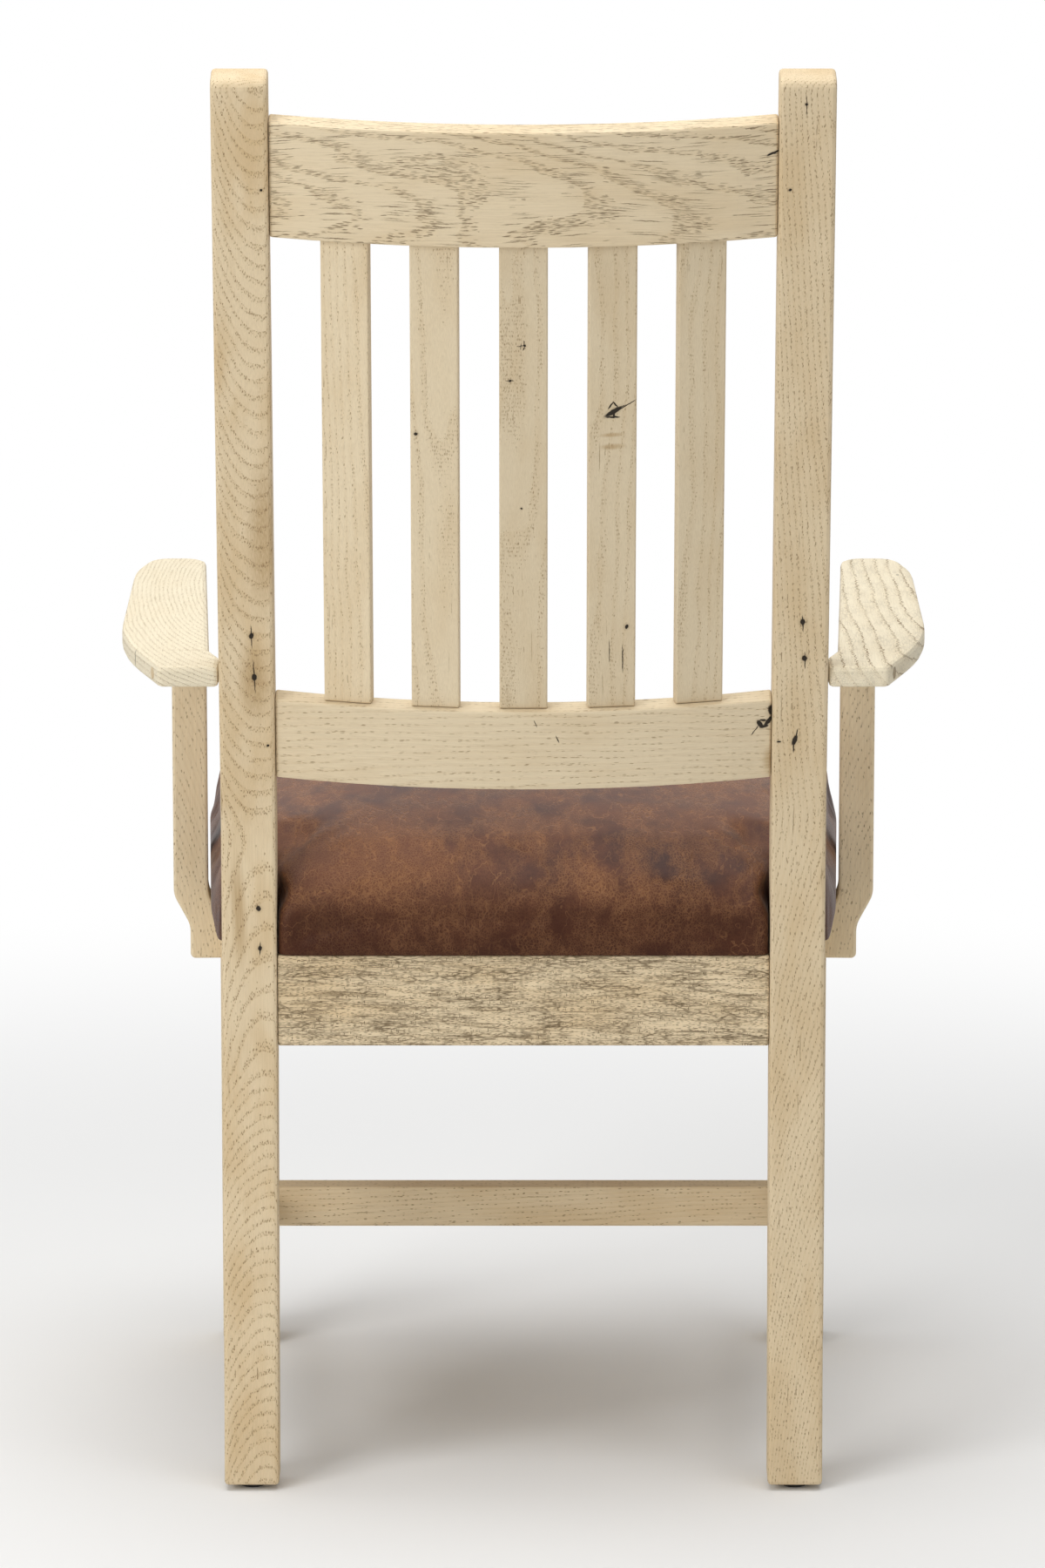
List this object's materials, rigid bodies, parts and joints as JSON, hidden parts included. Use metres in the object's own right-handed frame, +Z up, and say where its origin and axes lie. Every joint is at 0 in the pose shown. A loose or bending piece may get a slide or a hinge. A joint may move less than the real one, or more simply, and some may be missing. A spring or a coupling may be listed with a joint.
{
  "type": "farmhouse armchair",
  "caption": "Farmhouse armchair of bleached oak with a raked, bowed slat back, shaped arms on curved posts and a leather-covered seat cushion.",
  "frame": {"origin": "on the floor, under the middle of the chair's overall box", "axes": "+Z up, -Y the way the chair faces, +X to the sitter's left"},
  "size_m": [0.6118, 0.5381, 1.0889],
  "materials": {
    "bleached_oak": "matt, bleached reclaimed oak with dark open pores",
    "chestnut_leather": "satin, distressed",
    "birch_ply": "unfinished plywood",
    "seat_padding": "open foam",
    "zinc_steel": "zinc plated",
    "dark_nylon": "moulded"
  },
  "bodies": {
    "root": {"back_post_left": "bleached_oak", "back_post_right": "bleached_oak", "crest_rail": "bleached_oak", "lower_back_rail": "bleached_oak", "back_slat_1": "bleached_oak", "back_slat_2": "bleached_oak", "back_slat_3": "bleached_oak", "back_slat_4": "bleached_oak", "back_slat_5": "bleached_oak", "front_leg_left": "bleached_oak", "front_leg_right": "bleached_oak", "seat_rail_back": "bleached_oak", "seat_rail_front": "bleached_oak", "seat_rail_left": "bleached_oak", "seat_rail_right": "bleached_oak", "side_stretcher_left": "bleached_oak", "side_stretcher_right": "bleached_oak", "cross_stretcher": "bleached_oak", "corner_block_back_left": "bleached_oak", "corner_block_back_right": "bleached_oak", "corner_block_front_left": "bleached_oak", "corner_block_front_right": "bleached_oak", "arm_left": "bleached_oak", "arm_right": "bleached_oak", "arm_post_left": "bleached_oak", "arm_post_right": "bleached_oak", "arm_plug_left": "bleached_oak", "arm_plug_right": "bleached_oak", "arm_screw_left": "zinc_steel", "arm_screw_right": "zinc_steel", "arm_post_screw_left_1": "zinc_steel", "arm_post_screw_left_2": "zinc_steel", "arm_post_screw_right_1": "zinc_steel", "arm_post_screw_right_2": "zinc_steel", "seat_screw_back_left": "zinc_steel", "seat_screw_back_right": "zinc_steel", "seat_screw_front_left": "zinc_steel", "seat_screw_front_right": "zinc_steel", "seat_board": "birch_ply", "seat_foam": "seat_padding", "seat_cover": "chestnut_leather", "glide_back_left": "dark_nylon", "glide_back_right": "dark_nylon", "glide_front_left": "dark_nylon", "glide_front_right": "dark_nylon"}
  },
  "joints": []
}
